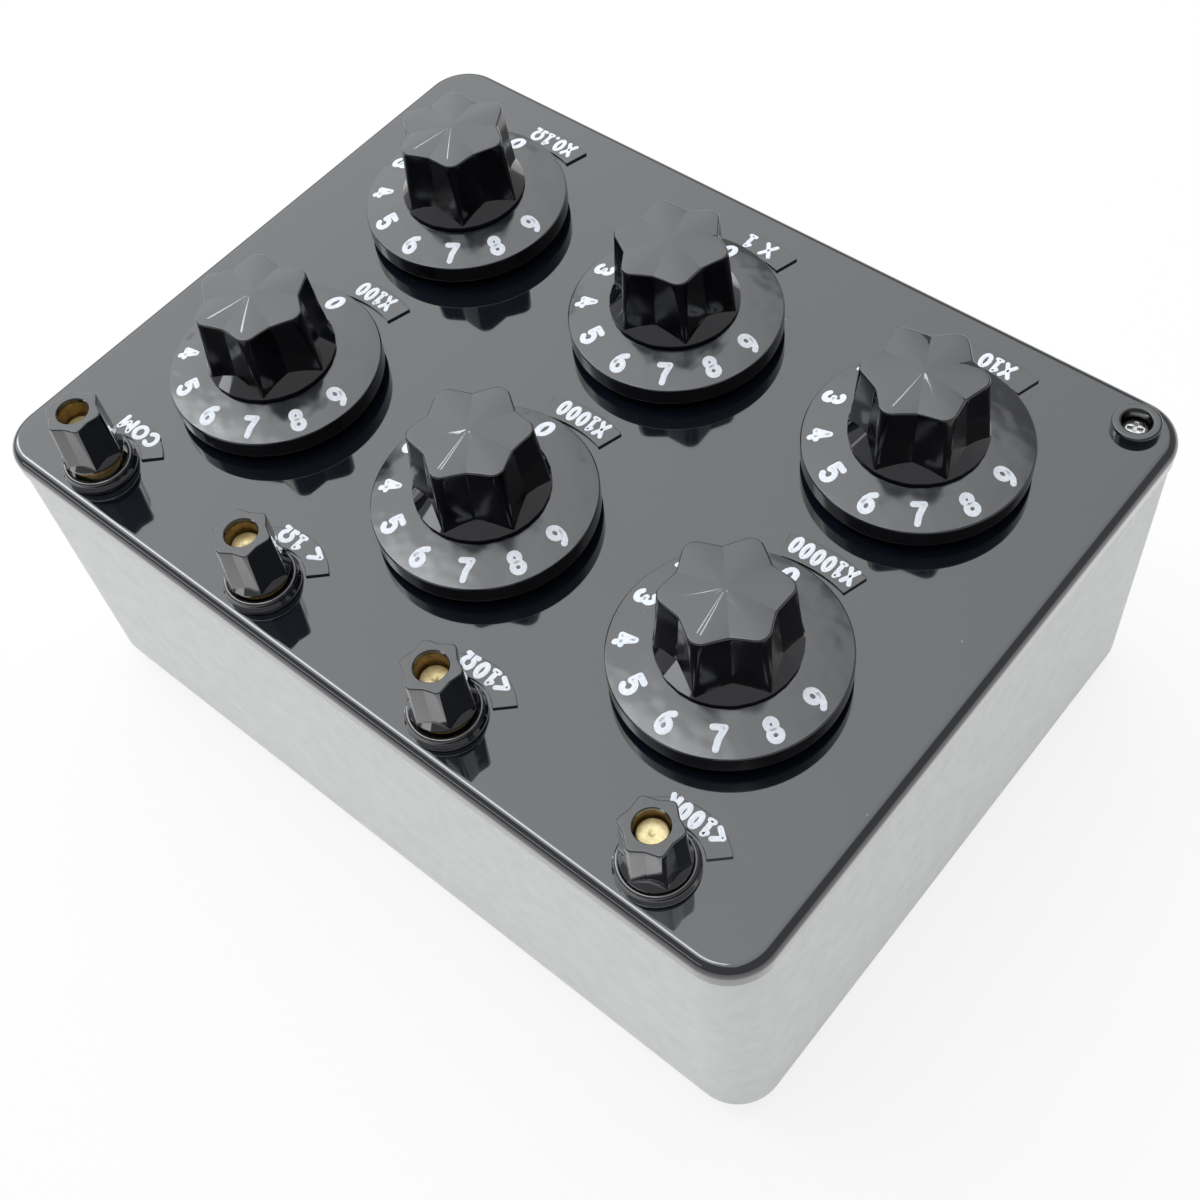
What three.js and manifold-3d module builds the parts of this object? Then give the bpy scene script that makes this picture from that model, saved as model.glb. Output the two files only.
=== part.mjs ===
// Decade resistance box: a light metal housing under a moulded black panel that carries six
// decade switches with turning dials and fluted knobs, and four binding posts.
// Millimetres, +Z up. +X is the user's right and -Y faces the user.
import * as THREE from 'three';
import { mergeVertices } from 'three/addons/utils/BufferGeometryUtils.js';
import Module from 'manifold-3d';

const wasm = await Module();
wasm.setup();

// Driving dimensions
const panelWidth = 166;
const panelDepth = 124;
const panelThickness = 4.5;
const panelCornerRadius = 8.5;
const housingHeight = 58.2;
const footHeight = 2.35;
const columnPitchShare = 0.301205;
const rowPitchShare = 0.403226;
const dialRowMiddle = -4;
const postSideInset = 21.1;
const postRearInset = 8.5;
const dialRadius = 18.9;
const knobTopHeight = 21.7;
const capHeight = 10.3;
const screwInsetX = 7.9;
const screwInsetY = 6.7;

// Clearances, and how far a cut runs past the face it opens
const seatGap = 0.15;
const turnGap = 0.3;
const seamGap = 0.3;
const overrun = 1;
const weldDistance = 0.0001;

// Heights that several pieces share
const housingUnderside = footHeight + seatGap;
const housingRim = housingUnderside + housingHeight;
const panelTop = housingRim + seamGap + panelThickness;

// Pitches of the dials and posts, which spread with the panel
const postsPerRow = 4;
const columnPitch = panelWidth * columnPitchShare;
const rowPitch = panelDepth * rowPitchShare;
const postPitch = (panelWidth - 2 * postSideInset) / (postsPerRow - 1);
const postRow = panelDepth / 2 - postRearInset;

// Housing walls, which the panel's lip and the inner parts follow
const housingInset = 0.35;
const housingDraft = 0.3;
const housingWall = 2.2;
const housingFloor = 2.5;
const housingFillet = 2.5;
const rimWidth = panelWidth - 2 * housingInset;
const rimDepth = panelDepth - 2 * housingInset;
const innerCornerRadius = panelCornerRadius - housingWall;
const innerWidth = rimWidth - 2 * housingWall;
const innerDepth = rimDepth - 2 * housingWall;

// Corner columns of the housing, the panel bosses above them and the screws through both
const screwX = panelWidth / 2 - screwInsetX;
const screwY = panelDepth / 2 - screwInsetY;
const columnRadius = 5;
const cornerBossDepth = 8;
const screwShankRadius = 1.6;
const screwHoleRadius = screwShankRadius + turnGap;
const screwHeadRadius = 3;
const screwHeadHeight = 2.4;
const counterboreRadius = screwHeadRadius + turnGap;
const counterboreDepth = 18;
const columnTop = panelTop - panelThickness - cornerBossDepth - seatGap;
const screwTipInPanel = 8.5;

// The screw in the raised cup at the front left corner
const cupRadius = 4.15;
const cupHeight = 1.6;
const sealHeadRadius = 2.15;
const sealHeadHeight = 2.2;
const sealHeadSunk = 2;
const sealShankRadius = 1.5;
const sealShankLength = 24;
const sealHoleSpare = 2;
const sealHeadTop = cupHeight - sealHeadSunk;
const sealSeat = sealHeadTop - sealHeadHeight;

// Spindle, and the bosses and bores that it runs in
const spindleRadius = 3;
const spindleBore = spindleRadius + turnGap;
const spindleTop = 15.7;
const spindleBottom = -23;
const spindleBossRadius = 7;
const spindleBossHeight = 3;
const ringRadius = 4.5;
const ringThickness = 1;
const ringTop = -panelThickness - spindleBossHeight - turnGap;

// Switch wafer with its contacts, and the wiper above it
const waferRadius = 18.5;
const waferTop = -18;
const waferThickness = 3;
const contactCircle = 12;
const contactRadius = 1.1;
const contactHeight = 1.2;
const contactCount = 10;
const contactSpan = 270;
const pillarRadius = 1.8;
const pillarCircle = 16.2;
const wiperBottom = waferTop + contactHeight + turnGap;
const wiperHubRadius = 6;
const wiperHubHeight = 3.5;
const wiperReach = 13.5;
const wiperArmWidth = 4;
const wiperArmThickness = 1.2;

// Resistor card, which stands on the housing floor between the rows of wafers
const cardLength = 128;
const cardThickness = 1.6;
const bobbinRadius = 4.2;
const bobbinLength = 10.4;
const bobbinCount = 6;
const bobbinPitch = 19;
const bobbinDepth = 34;
const bracketHeight = 9;
const bracketLength = 8;
const bracketWall = 2;
const bracketInset = 3;
const bracketSlotDepth = 6;
const bracketX = cardLength / 2 - bracketInset;

// Binding post: threaded stud, collar, brass insert and fluted cap
const studRadius = 2.4;
const studBottom = -16;
const studTop = 10.8;
const studChamfer = 0.2;
const studDimpleRadius = 0.6;
const studDimpleDepth = 0.4;
const shoulderRadius = 3.4;
const shoulderHeight = 1.2;
const shoulderTop = 0.7;
const nutRadius = 5.4;
const nutHeight = 3;
const spigotRadius = 4;
const spigotShort = 0.5;
const collarBaseRadius = 6.5;
const collarTopRadius = 6.1;
const collarHeight = 2.4;
const collarRecessRadius = 5.2;
const flangeRadius = 4.8;
const flangeThickness = 1.1;
const threadGap = 0.35;
const insertBore = studRadius + threadGap;
const insertRadius = 3.15;
const capSeat = collarHeight + turnGap;
const capMouthRadius = studRadius + turnGap;
const capMouthDepth = 0.7;
const flangeTop = capSeat - turnGap;
const flangeBottom = flangeTop - flangeThickness;
const collarFloor = flangeBottom - turnGap;
const postHoleRadius = spigotRadius + turnGap;

// Turns a geometry into a closed solid that can be joined and cut.
function toSolid(geometry) {
  geometry.deleteAttribute('normal');
  geometry.deleteAttribute('uv');
  const merged = mergeVertices(geometry, weldDistance);
  const corners = merged.index.array;
  const triangles = [];
  for (let i = 0; i < corners.length; i += 3) {
    const [a, b, c] = corners.slice(i, i + 3);
    if (a !== b && b !== c && c !== a) triangles.push(a, b, c);
  }
  const vertProperties = merged.attributes.position.array;
  const triVerts = Uint32Array.from(triangles);
  return new wasm.Manifold(new wasm.Mesh({ numProp: 3, vertProperties, triVerts }));
}

function toGeometry(solid) {
  const mesh = solid.getMesh();
  const geometry = new THREE.BufferGeometry();
  geometry.setAttribute('position', new THREE.BufferAttribute(mesh.vertProperties.slice(), mesh.numProp));
  geometry.setIndex(new THREE.BufferAttribute(mesh.triVerts.slice(), 1));
  geometry.computeVertexNormals();
  return geometry;
}

function join(first, ...others) {
  return others.reduce((whole, piece) => whole.add(piece), first);
}

function cut(first, ...tools) {
  return tools.reduce((whole, tool) => whole.subtract(tool), first);
}

// The corner radius of a polygon whose flats lie at the given radius.
function around(radius, sides) {
  return radius / Math.cos(Math.PI / sides);
}

function rod(radius, bottom, top, sides) {
  const geometry = new THREE.CylinderGeometry(radius, radius, top - bottom, sides);
  geometry.rotateX(Math.PI / 2);
  geometry.translate(0, 0, (top + bottom) / 2);
  return toSolid(geometry);
}

function block(width, depth, bottom, top) {
  const geometry = new THREE.BoxGeometry(width, depth, top - bottom);
  geometry.translate(0, 0, (top + bottom) / 2);
  return toSolid(geometry);
}

// A profile of [radius, height] pairs, counter-clockwise, turned round the Z axis.
function turned(profile, sides) {
  const points = profile.map(([radius, height]) => new THREE.Vector2(radius, height));
  const geometry = new THREE.LatheGeometry(points, sides);
  geometry.rotateX(Math.PI / 2);
  return toSolid(geometry);
}

function closedProfile(profile) {
  return [...profile, profile[0]];
}

// A skin over rings of equally many points, closed by a fan at each end.
function stack(rings, bottomHeight, topHeight) {
  const count = rings[0].length;
  const ends = [new THREE.Vector3(0, 0, bottomHeight), new THREE.Vector3(0, 0, topHeight)];
  const points = [...rings.flat(), ...ends];
  const bottomCentre = points.length - 2;
  const topCentre = points.length - 1;
  const lastRing = (rings.length - 1) * count;
  const triangles = [];
  for (let i = 0; i < count; i += 1) {
    const next = (i + 1) % count;
    triangles.push(bottomCentre, next, i);
    triangles.push(topCentre, lastRing + i, lastRing + next);
    for (let ring = 0; ring < lastRing; ring += count) {
      triangles.push(ring + i, ring + next, ring + count + next);
      triangles.push(ring + i, ring + count + next, ring + count + i);
    }
  }
  const geometry = new THREE.BufferGeometry().setFromPoints(points);
  geometry.setIndex(triangles);
  return toSolid(geometry);
}

const cornerSteps = 4;

function roundedRing(width, depth, radius, height) {
  const ring = [];
  const middles = [[1, 1], [-1, 1], [-1, -1], [1, -1]];
  middles.forEach(([sideX, sideY], quarter) => {
    for (let step = 0; step <= cornerSteps; step += 1) {
      const angle = (quarter + step / cornerSteps) * Math.PI / 2;
      const x = sideX * (width / 2 - radius) + radius * Math.cos(angle);
      const y = sideY * (depth / 2 - radius) + radius * Math.sin(angle);
      ring.push(new THREE.Vector3(x, y, height));
    }
  });
  return ring;
}

function roundedBlock(width, depth, radius, bottom, top) {
  const rings = [roundedRing(width, depth, radius, bottom), roundedRing(width, depth, radius, top)];
  return stack(rings, bottom, top);
}

// A lobed grip is a six-pointed star with round tips, flat flanks and V-shaped flutes.
const lobeCount = 6;
const tipArcShares = [0, 0.5, 1];

// Half of one lobe's outline, from its tip on the X axis down to the flute next to it
function halfLobe(tip, valley, tipRound) {
  const centre = new THREE.Vector2(tip - tipRound, 0);
  const flute = new THREE.Vector2(valley, 0).rotateAround(new THREE.Vector2(), Math.PI / lobeCount);
  const line = flute.clone().sub(centre);
  const flankTurn = line.angle() - Math.acos(tipRound / line.length());
  const arc = tipArcShares.map((share) => (
    new THREE.Vector2(tipRound, 0).rotateAround(new THREE.Vector2(), share * flankTurn).add(centre)));
  return [...arc, flute];
}

// One ring round a lobed grip. The height is a function of the point's radius.
function lobedRing(tip, valley, tipRound, heightAt) {
  const half = halfLobe(tip, valley, tipRound);
  const mirrored = half.slice(1, -1).reverse().map((point) => new THREE.Vector2(point.x, -point.y));
  const ring = [];
  for (let lobe = 0; lobe < lobeCount; lobe += 1) {
    const turn = lobe * 2 * Math.PI / lobeCount;
    for (const point of [...mirrored, ...half]) {
      const { x, y } = point.clone().rotateAround(new THREE.Vector2(), turn);
      ring.push(new THREE.Vector3(x, y, heightAt(point.length())));
    }
  }
  return ring;
}

// A plain circle with a point under each one of a lobed ring
function footRing(ring, radius, height) {
  return ring.map(({ x, y }) => new THREE.Vector3(x, y, 0).setLength(radius).setZ(height));
}

// A flat ring sector, centred on the -Y direction of its own origin.
function sector(inner, outer, halfAngle, bottom, top, steps) {
  const shape = new THREE.Shape();
  const start = -Math.PI / 2 - halfAngle;
  const end = -Math.PI / 2 + halfAngle;
  shape.absarc(0, 0, outer, start, end, false);
  shape.absarc(0, 0, inner, end, start, true);
  const options = { depth: top - bottom, bevelEnabled: false, curveSegments: steps };
  const geometry = new THREE.ExtrudeGeometry(shape, options);
  geometry.translate(0, 0, bottom);
  return toSolid(geometry);
}

const looks = {
  blackGloss: new THREE.MeshStandardMaterial({ color: 0x15161a, roughness: 0.22, metalness: 0 }),
  castSilver: new THREE.MeshStandardMaterial({ color: 0xb7b9ba, roughness: 0.55, metalness: 0.6 }),
  brass: new THREE.MeshStandardMaterial({ color: 0xc29a4e, roughness: 0.3, metalness: 1 }),
  steel: new THREE.MeshStandardMaterial({ color: 0xb0b2b5, roughness: 0.35, metalness: 1 }),
  laminate: new THREE.MeshStandardMaterial({ color: 0x6e4a2a, roughness: 0.6, metalness: 0 }),
  rubber: new THREE.MeshStandardMaterial({ color: 0x1c1c1c, roughness: 0.9, metalness: 0 }),
};

function named(name, solid, look) {
  const mesh = new THREE.Mesh(toGeometry(solid), looks[look]);
  mesh.name = name;
  return mesh;
}

const decades = [
  { name: 'x10000', column: -1, row: 1, knobAngle: 41 },
  { name: 'x1000', column: 0, row: 1, knobAngle: 39 },
  { name: 'x100', column: 1, row: 1, knobAngle: 10 },
  { name: 'x10', column: -1, row: -1, knobAngle: 26 },
  { name: 'x1', column: 0, row: -1, knobAngle: 18 },
  { name: 'x0_1', column: 1, row: -1, knobAngle: 12 },
];

// How far each post's cap is unscrewed and turned, with post 1 at the user's right
const posts = [
  { name: 'post_1', place: 1.5, capLift: 1.6, capAngle: 28 },
  { name: 'post_2', place: 0.5, capLift: 0.8, capAngle: 25 },
  { name: 'post_3', place: -0.5, capLift: 1.2, capAngle: 26 },
  { name: 'post_4', place: -1.5, capLift: 0, capAngle: 26 },
];

function decadePlace(decade) {
  return [decade.column * columnPitch, dialRowMiddle + decade.row * rowPitch / 2, 0];
}

function postPlace(post) {
  return [post.place * postPitch, postRow, 0];
}

const corners = [[-1, -1], [1, -1], [1, 1], [-1, 1]];
const [sealCorner, ...caseCorners] = corners;

function cornerPlace([sideX, sideY]) {
  return [sideX * screwX, sideY * screwY, 0];
}

// Housing: an open tray with a rounded bottom edge and a column in each corner
function housing() {
  const filletSteps = 3;
  const rings = [];
  for (let step = 0; step <= filletSteps; step += 1) {
    const angle = step / filletSteps * Math.PI / 2;
    const inset = housingDraft + housingFillet * (1 - Math.sin(angle));
    const height = housingUnderside + housingFillet * (1 - Math.cos(angle));
    rings.push(roundedRing(rimWidth - 2 * inset, rimDepth - 2 * inset, panelCornerRadius - inset, height));
  }
  rings.push(roundedRing(rimWidth, rimDepth, panelCornerRadius, housingRim));
  const outside = stack(rings, housingUnderside, housingRim);

  const floorTop = housingUnderside + housingFloor;
  const floorWidth = innerWidth - 2 * housingDraft;
  const floorDepth = innerDepth - 2 * housingDraft;
  const inside = stack([
    roundedRing(floorWidth, floorDepth, innerCornerRadius, floorTop),
    roundedRing(innerWidth, innerDepth, innerCornerRadius, housingRim),
    roundedRing(innerWidth, innerDepth, innerCornerRadius, housingRim + overrun),
  ], floorTop, housingRim + overrun);

  const column = rod(columnRadius, housingUnderside + housingFillet / 2, columnTop, 14);
  const columns = corners.map((corner) => column.translate(cornerPlace(corner)));
  const counterboreTop = housingUnderside + counterboreDepth;
  const holeRadius = around(screwHoleRadius, 8);
  const caseHole = join(
    rod(around(counterboreRadius, 12), housingUnderside - overrun, counterboreTop, 12),
    rod(holeRadius, housingUnderside, columnTop + overrun, 8),
  );
  const sealHoleRadius = around(sealShankRadius + turnGap, 8);
  const sealHoleBottom = panelTop + sealSeat - sealShankLength - sealHoleSpare;
  const sealHole = rod(sealHoleRadius, sealHoleBottom, columnTop + overrun, 8);
  return cut(
    join(outside.subtract(inside), ...columns),
    ...caseCorners.map((corner) => caseHole.translate(cornerPlace(corner))),
    sealHole.translate(cornerPlace(sealCorner)),
  );
}

// Panel: slab with a rounded top edge, label plates, screw cup, and the lip, bosses and
// card brackets under it. Heights here are measured from the panel's top face.
function panel() {
  const edgeRadius = 2;
  const edgeSteps = 2;
  const plateHeight = 0.45;
  const plateRoot = -panelThickness / 2;
  const dialPlateGap = 3;
  const dialPlateInner = dialRadius + dialPlateGap;
  const dialPlateWidth = 4.7;
  const dialPlateOuter = dialPlateInner + dialPlateWidth;
  const dialPlateHalfAngle = THREE.MathUtils.degToRad(16.2);
  const postPlateGap = 0.5;
  const postPlateInner = collarBaseRadius + postPlateGap;
  const postPlateOuter = 10.9;
  const postPlateHalfAngle = THREE.MathUtils.degToRad(46);
  const lipDepth = 4;
  const lipThickness = 2;
  const lipClearance = 0.4;
  const nutNotchGap = 0.8;
  const nutNotchRadius = nutRadius + nutNotchGap;

  const rings = [roundedRing(panelWidth, panelDepth, panelCornerRadius, -panelThickness)];
  for (let step = 0; step <= edgeSteps; step += 1) {
    const angle = step / edgeSteps * Math.PI / 2;
    const inset = edgeRadius * (1 - Math.cos(angle));
    const height = edgeRadius * (Math.sin(angle) - 1);
    const radius = panelCornerRadius - inset;
    rings.push(roundedRing(panelWidth - 2 * inset, panelDepth - 2 * inset, radius, height));
  }
  const slab = stack(rings, -panelThickness, 0);

  const lipWidth = innerWidth - 2 * lipClearance;
  const lipDepthOutside = innerDepth - 2 * lipClearance;
  const lipRadius = innerCornerRadius - lipClearance;
  const lipFoot = -panelThickness - lipDepth;
  const lipOutside = roundedBlock(lipWidth, lipDepthOutside, lipRadius, lipFoot, plateRoot);
  const lipInside = roundedBlock(
    lipWidth - 2 * lipThickness,
    lipDepthOutside - 2 * lipThickness,
    lipRadius - lipThickness,
    lipFoot - overrun,
    -panelThickness,
  );
  const notch = rod(nutNotchRadius, lipFoot - overrun, -panelThickness, 8);
  const lip = cut(lipOutside, lipInside, ...posts.map((post) => notch.translate(postPlace(post))));

  const bossFoot = -panelThickness - cornerBossDepth;
  const bossLimit = roundedBlock(lipWidth, lipDepthOutside, lipRadius, bossFoot, plateRoot);
  const cornerBoss = rod(columnRadius, bossFoot, plateRoot, 12);
  const cornerBosses = corners.map((corner) => {
    return cornerBoss.translate(cornerPlace(corner)).intersect(bossLimit);
  });
  const spindleBoss = rod(spindleBossRadius, -panelThickness - spindleBossHeight, plateRoot, 10);
  const dialPlate = sector(dialPlateInner, dialPlateOuter, dialPlateHalfAngle, plateRoot, plateHeight, 2);
  const postPlate = sector(postPlateInner, postPlateOuter, postPlateHalfAngle, plateRoot, plateHeight, 4);
  const cup = rod(cupRadius, plateRoot, cupHeight, 16);

  const bracketFoot = -panelThickness - bracketHeight;
  const slotWidth = cardThickness + 2 * turnGap;
  const slotTop = bracketFoot + bracketSlotDepth;
  const bracket = block(bracketLength, slotWidth + 2 * bracketWall, bracketFoot, plateRoot)
    .subtract(block(bracketLength + 2 * overrun, slotWidth, bracketFoot - overrun, slotTop));

  const spindleHole = rod(around(spindleBore, 10), bracketFoot, overrun, 10);
  const postHole = rod(around(postHoleRadius, 10), bracketFoot, overrun, 10);
  const tipHeight = bossFoot + screwTipInPanel;
  const caseHole = rod(around(screwHoleRadius, 8), bossFoot - overrun, tipHeight + turnGap, 8);
  const sealHole = join(
    rod(around(sealHeadRadius + turnGap, 12), sealSeat - seatGap, cupHeight + overrun, 12),
    rod(around(sealShankRadius + turnGap, 8), bossFoot - overrun, 0, 8),
  );
  return cut(
    join(
      slab,
      lip,
      ...cornerBosses,
      ...decades.map((decade) => spindleBoss.translate(decadePlace(decade))),
      ...decades.map((decade) => dialPlate.translate(decadePlace(decade))),
      ...posts.map((post) => postPlate.translate(postPlace(post))),
      cup.translate(cornerPlace(sealCorner)),
      bracket.translate([-bracketX, dialRowMiddle, 0]),
      bracket.translate([bracketX, dialRowMiddle, 0]),
    ),
    ...decades.map((decade) => spindleHole.translate(decadePlace(decade))),
    ...posts.map((post) => postHole.translate(postPlace(post))),
    ...caseCorners.map((corner) => caseHole.translate(cornerPlace(corner))),
    sealHole.translate(cornerPlace(sealCorner)),
  );
}

// Cross-head screw in the cup; heights from the panel's top face
function sealScrew() {
  return turned([
    [0, sealSeat - sealShankLength],
    [sealShankRadius, sealSeat - sealShankLength],
    [sealShankRadius, sealSeat],
    [sealHeadRadius, sealSeat],
    [sealHeadRadius, sealHeadTop],
    [0, sealHeadTop],
  ], 12);
}

// Long screw from below; its head bears on the end of the counterbore
function caseScrew() {
  const headTop = housingUnderside + counterboreDepth - seatGap;
  const tip = panelTop - panelThickness - cornerBossDepth + screwTipInPanel;
  return turned([
    [0, headTop - screwHeadHeight],
    [screwHeadRadius, headTop - screwHeadHeight],
    [screwHeadRadius, headTop],
    [screwShankRadius, headTop],
    [screwShankRadius, tip],
    [0, tip],
  ], 8);
}

function foot() {
  const radius = 6;
  const taper = 0.4;
  return turned([
    [0, 0],
    [radius - taper, 0],
    [radius, footHeight],
    [0, footHeight],
  ], 12);
}

// Card with wound bobbins through it, held by the panel's brackets and the housing floor
function resistorCard() {
  const bottom = housingUnderside + housingFloor + seatGap;
  const top = panelTop - panelThickness - bracketHeight + bracketSlotDepth - seatGap;
  const board = block(cardLength, cardThickness, bottom, top);
  const bobbin = rod(bobbinRadius, -bobbinLength / 2, bobbinLength / 2, 6).rotate([90, 0, 0]);
  const bobbins = [];
  for (let i = 0; i < bobbinCount; i += 1) {
    const x = (i - (bobbinCount - 1) / 2) * bobbinPitch;
    bobbins.push(bobbin.translate([x, 0, panelTop - bobbinDepth]));
  }
  return join(board, ...bobbins);
}

// Dial: a skirted disc with a sloping face for the digits and a hub that runs on the panel
const dialCrownHeight = 6.9;

function dial() {
  const edgeHeight = 5.4;
  const skirtHeight = 1.8;
  const crownRadius = 11.5;
  const hubRadius = 6.5;
  const hubLift = 0.6;
  const wall = 1.7;
  const ceiling = 3.2;
  const sides = 22;
  const bore = around(spindleBore, sides);
  return turned(closedProfile([
    [bore, hubLift],
    [hubRadius, hubLift],
    [hubRadius, ceiling],
    [dialRadius - wall, ceiling],
    [dialRadius - wall, skirtHeight],
    [dialRadius, skirtHeight],
    [dialRadius, edgeHeight],
    [crownRadius, dialCrownHeight],
    [bore, dialCrownHeight],
  ]), sides);
}

// Knob: a round base ring, ramps rising into six flutes, tapering lobes and a pyramid top
function knob() {
  const baseRadius = 11.4;
  const ringHeight = 0.75;
  const rampAngle = THREE.MathUtils.degToRad(45);
  const baseTip = 11.2;
  const baseValley = 9;
  const baseTipRound = 0.5;
  const topTip = 10.05;
  const topValley = 8.1;
  const topTipRound = 2.1;
  const tipDrop = 0.6;
  const valleyDrop = 0.9;
  const seat = dialCrownHeight + turnGap;
  const ringTopHeight = seat + ringHeight;
  const rampHeight = (radius) => ringTopHeight + (baseRadius - radius) * Math.tan(rampAngle);
  const dropRate = (valleyDrop - tipDrop) / (topTip - topValley);
  const edgeHeight = (radius) => knobTopHeight - tipDrop - dropRate * (topTip - radius);
  const rampRing = lobedRing(baseTip, baseValley, baseTipRound, rampHeight);
  const rings = [
    footRing(rampRing, baseRadius, seat),
    footRing(rampRing, baseRadius, ringTopHeight),
    rampRing,
    lobedRing(topTip, topValley, topTipRound, edgeHeight),
  ];
  const socket = rod(around(spindleBore, 8), seat - overrun, spindleTop + turnGap, 8);
  return stack(rings, seat, knobTopHeight).subtract(socket);
}

function spindle() {
  return turned([
    [0, spindleBottom],
    [spindleRadius, spindleBottom],
    [spindleRadius, ringTop - ringThickness],
    [ringRadius, ringTop - ringThickness],
    [ringRadius, ringTop],
    [spindleRadius, ringTop],
    [spindleRadius, spindleTop],
    [0, spindleTop],
  ], 10);
}

function wiper() {
  const hub = rod(wiperHubRadius, wiperBottom, wiperBottom + wiperHubHeight, 8);
  const arm = block(wiperReach, wiperArmWidth, wiperBottom, wiperBottom + wiperArmThickness);
  const bore = rod(around(spindleBore, 8), wiperBottom - overrun, wiperBottom + wiperHubHeight + overrun, 8);
  return join(hub, arm.translate([wiperReach / 2, 0, 0])).subtract(bore);
}

// Insulating wafer with its ring of contacts, hung from the panel on two pillars
function wafer() {
  const waferBottom = waferTop - waferThickness;
  const root = waferTop - waferThickness / 2;
  const disc = rod(waferRadius, waferBottom, waferTop, 14);
  const contact = rod(contactRadius, root, waferTop + contactHeight, 4);
  const contacts = [];
  for (let i = 0; i < contactCount; i += 1) {
    const angle = THREE.MathUtils.degToRad(i * contactSpan / (contactCount - 1) - 90);
    contacts.push(contact.translate([contactCircle * Math.cos(angle), contactCircle * Math.sin(angle), 0]));
  }
  const pillar = rod(pillarRadius, root, -panelThickness - seatGap, 6);
  const hole = rod(around(spindleBore, 8), waferBottom - overrun, waferTop + overrun, 8);
  return join(
    disc,
    ...contacts,
    pillar.translate([pillarCircle, 0, 0]),
    pillar.translate([-pillarCircle, 0, 0]),
  ).subtract(hole);
}

// Collar: a shallow cup on the panel, with a spigot that lines the panel's hole
function collar() {
  const sides = 12;
  const bore = around(studRadius + turnGap, sides);
  const shoulderBore = around(shoulderRadius + turnGap, sides);
  const shoulderSeat = shoulderTop - shoulderHeight - seatGap;
  return turned(closedProfile([
    [bore, spigotShort - panelThickness],
    [spigotRadius, spigotShort - panelThickness],
    [spigotRadius, seatGap],
    [collarBaseRadius, seatGap],
    [collarTopRadius, collarHeight],
    [collarRecessRadius, collarHeight],
    [collarRecessRadius, collarFloor],
    [shoulderBore, collarFloor],
    [shoulderBore, shoulderSeat],
    [bore, shoulderSeat],
  ]), sides);
}

// Stud: shoulder in the collar, nut under the panel, drilled end up inside the cap
function stud() {
  const shoulderBottom = shoulderTop - shoulderHeight;
  const bolt = turned([
    [0, studBottom],
    [studRadius, studBottom],
    [studRadius, shoulderBottom],
    [shoulderRadius, shoulderBottom],
    [shoulderRadius, shoulderTop],
    [studRadius, shoulderTop],
    [studRadius, studTop - studChamfer],
    [studRadius - studChamfer, studTop],
    [studDimpleRadius, studTop],
    [0, studTop - studDimpleDepth],
  ], 10);
  const nutTop = -panelThickness - seatGap;
  return bolt.add(rod(nutRadius, nutTop - nutHeight, nutTop, 6));
}

function insert() {
  const sides = 12;
  const top = capSeat + capHeight - capMouthDepth - turnGap;
  const bore = around(insertBore, sides);
  return turned(closedProfile([
    [bore, flangeBottom],
    [flangeRadius, flangeBottom],
    [flangeRadius, flangeTop],
    [insertRadius, flangeTop],
    [insertRadius, top],
    [bore, top],
  ]), sides);
}

// Cap: the knob's form on a smaller scale, bored through for the insert
function cap() {
  const baseRadius = 5.4;
  const ringHeight = 0.5;
  const rampAngle = THREE.MathUtils.degToRad(45);
  const baseTip = 5.3;
  const baseValley = 4.5;
  const baseTipRound = 0.4;
  const topTip = 4.9;
  const topValley = 4.1;
  const topTipRound = 1;
  const top = capSeat + capHeight;
  const ringTopHeight = capSeat + ringHeight;
  const rampHeight = (radius) => ringTopHeight + (baseRadius - radius) * Math.tan(rampAngle);
  const rampRing = lobedRing(baseTip, baseValley, baseTipRound, rampHeight);
  const rings = [
    footRing(rampRing, baseRadius, capSeat),
    footRing(rampRing, baseRadius, ringTopHeight),
    rampRing,
    lobedRing(topTip, topValley, topTipRound, () => top),
  ];
  return cut(
    stack(rings, capSeat, top),
    rod(around(insertRadius + turnGap, 10), capSeat - overrun, top - capMouthDepth, 10),
    rod(capMouthRadius, capSeat, top + overrun, 10),
  );
}

const box = new THREE.Group();
box.add(named('housing', housing(), 'castSilver'));
box.add(named('resistor_card', resistorCard().translate([0, dialRowMiddle, 0]), 'laminate'));
caseCorners.forEach((corner, i) => {
  const screw = named(`case_screw_${i + 1}`, caseScrew(), 'steel');
  screw.position.set(...cornerPlace(corner));
  box.add(screw);
});

const footInsetX = 18;
const footInsetY = 17;
corners.forEach(([sideX, sideY], i) => {
  const mesh = named(`foot_${i + 1}`, foot(), 'rubber');
  mesh.position.set(sideX * (panelWidth / 2 - footInsetX), sideY * (panelDepth / 2 - footInsetY), 0);
  box.add(mesh);
});

const onPanel = new THREE.Group();
onPanel.position.z = panelTop;
box.add(onPanel);
onPanel.add(named('panel', panel(), 'blackGloss'));
const sealMesh = named('seal_screw', sealScrew(), 'steel');
sealMesh.position.set(...cornerPlace(sealCorner));
onPanel.add(sealMesh);

for (const decade of decades) {
  const group = new THREE.Group();
  group.position.set(...decadePlace(decade));
  onPanel.add(group);
  const grip = named(`knob_${decade.name}`, knob(), 'blackGloss');
  grip.rotation.z = THREE.MathUtils.degToRad(decade.knobAngle);
  group.add(grip);
  group.add(named(`dial_${decade.name}`, dial(), 'blackGloss'));
  group.add(named(`shaft_${decade.name}`, spindle(), 'steel'));
  group.add(named(`wafer_${decade.name}`, wafer(), 'laminate'));
  const arm = named(`wiper_${decade.name}`, wiper(), 'brass');
  arm.rotation.z = -Math.PI / 2;
  group.add(arm);
}

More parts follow.
